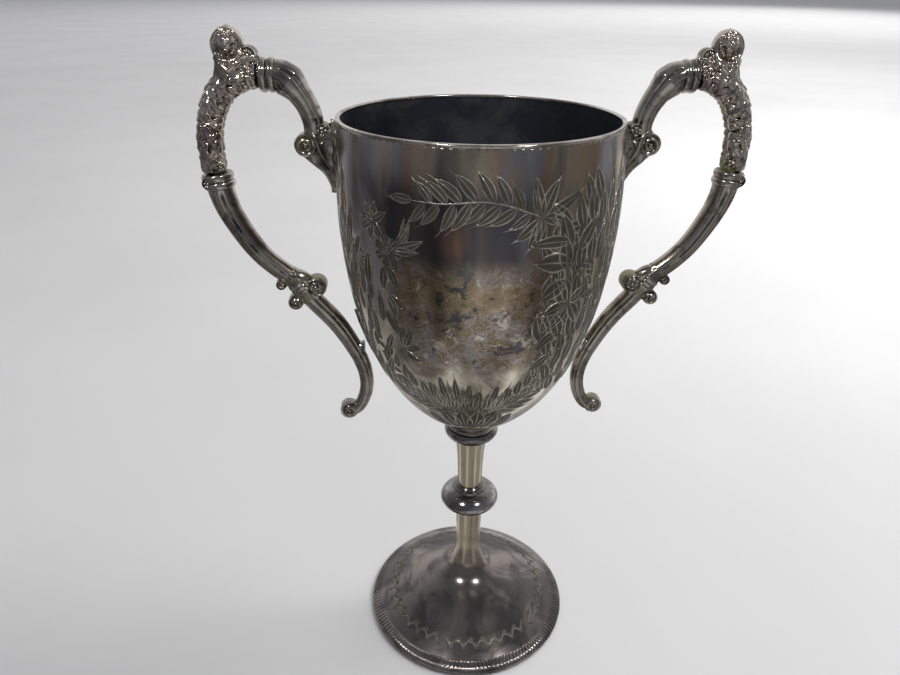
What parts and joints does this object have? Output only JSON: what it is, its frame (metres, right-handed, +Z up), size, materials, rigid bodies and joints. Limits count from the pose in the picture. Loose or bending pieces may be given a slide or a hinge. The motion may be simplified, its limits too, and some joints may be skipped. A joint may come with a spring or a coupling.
{
  "type": "cup trophy",
  "caption": "Tall silver-plated goblet trophy with two cast scroll handles, a knopped stem and a spread round foot, engraved with leafy sprays.",
  "frame": {"origin": "centre of the face that the foot rests on", "axes": "+Z up the stem, X through the two handles, -Y the inscribed side that the picture shows"},
  "size_m": [0.2174, 0.1132, 0.287],
  "materials": {
    "bowl_plate": "polished silver plate, tarnished brown and blue in patches, engraved foliage hatched matt",
    "rim_plate": "bright silver plate, rubbed at the edge",
    "stem_plate": "polished silver plate, slightly yellowed",
    "dark_plate": "polished silver plate under dark grey tarnish",
    "foot_plate": "polished silver plate under cloudy brown-grey tarnish",
    "cast_plate": "cast and plated, dark grey tarnish with bright rubbed edges",
    "grip_plate": "cast foliage, brown tarnish with dried polish in the recesses",
    "clamp_brass": "plain turned brass, dull"
  },
  "bodies": {
    "root": {"bowl": "bowl_plate", "rim_wire": "rim_plate", "seat_ring": "stem_plate", "stem_collar": "dark_plate", "upper_stem": "stem_plate", "knop_cap_ring": "dark_plate", "knop": "dark_plate", "beaded_ring": "stem_plate", "foot": "foot_plate", "foot_border": "foot_plate", "tie_rod": "clamp_brass", "clamp_washer": "clamp_brass", "clamp_nut": "clamp_brass", "left_upper_bracket": "cast_plate", "left_upper_arm": "cast_plate", "left_upper_collar": "cast_plate", "left_grip": "grip_plate", "left_bust": "grip_plate", "left_lower_collar": "cast_plate", "left_lower_arm": "cast_plate", "left_scroll_knot": "cast_plate", "left_tail": "cast_plate", "left_lower_mount": "cast_plate", "right_upper_bracket": "cast_plate", "right_upper_arm": "cast_plate", "right_upper_collar": "cast_plate", "right_grip": "grip_plate", "right_bust": "grip_plate", "right_lower_collar": "cast_plate", "right_lower_arm": "cast_plate", "right_scroll_knot": "cast_plate", "right_tail": "cast_plate", "right_lower_mount": "cast_plate"}
  },
  "joints": []
}
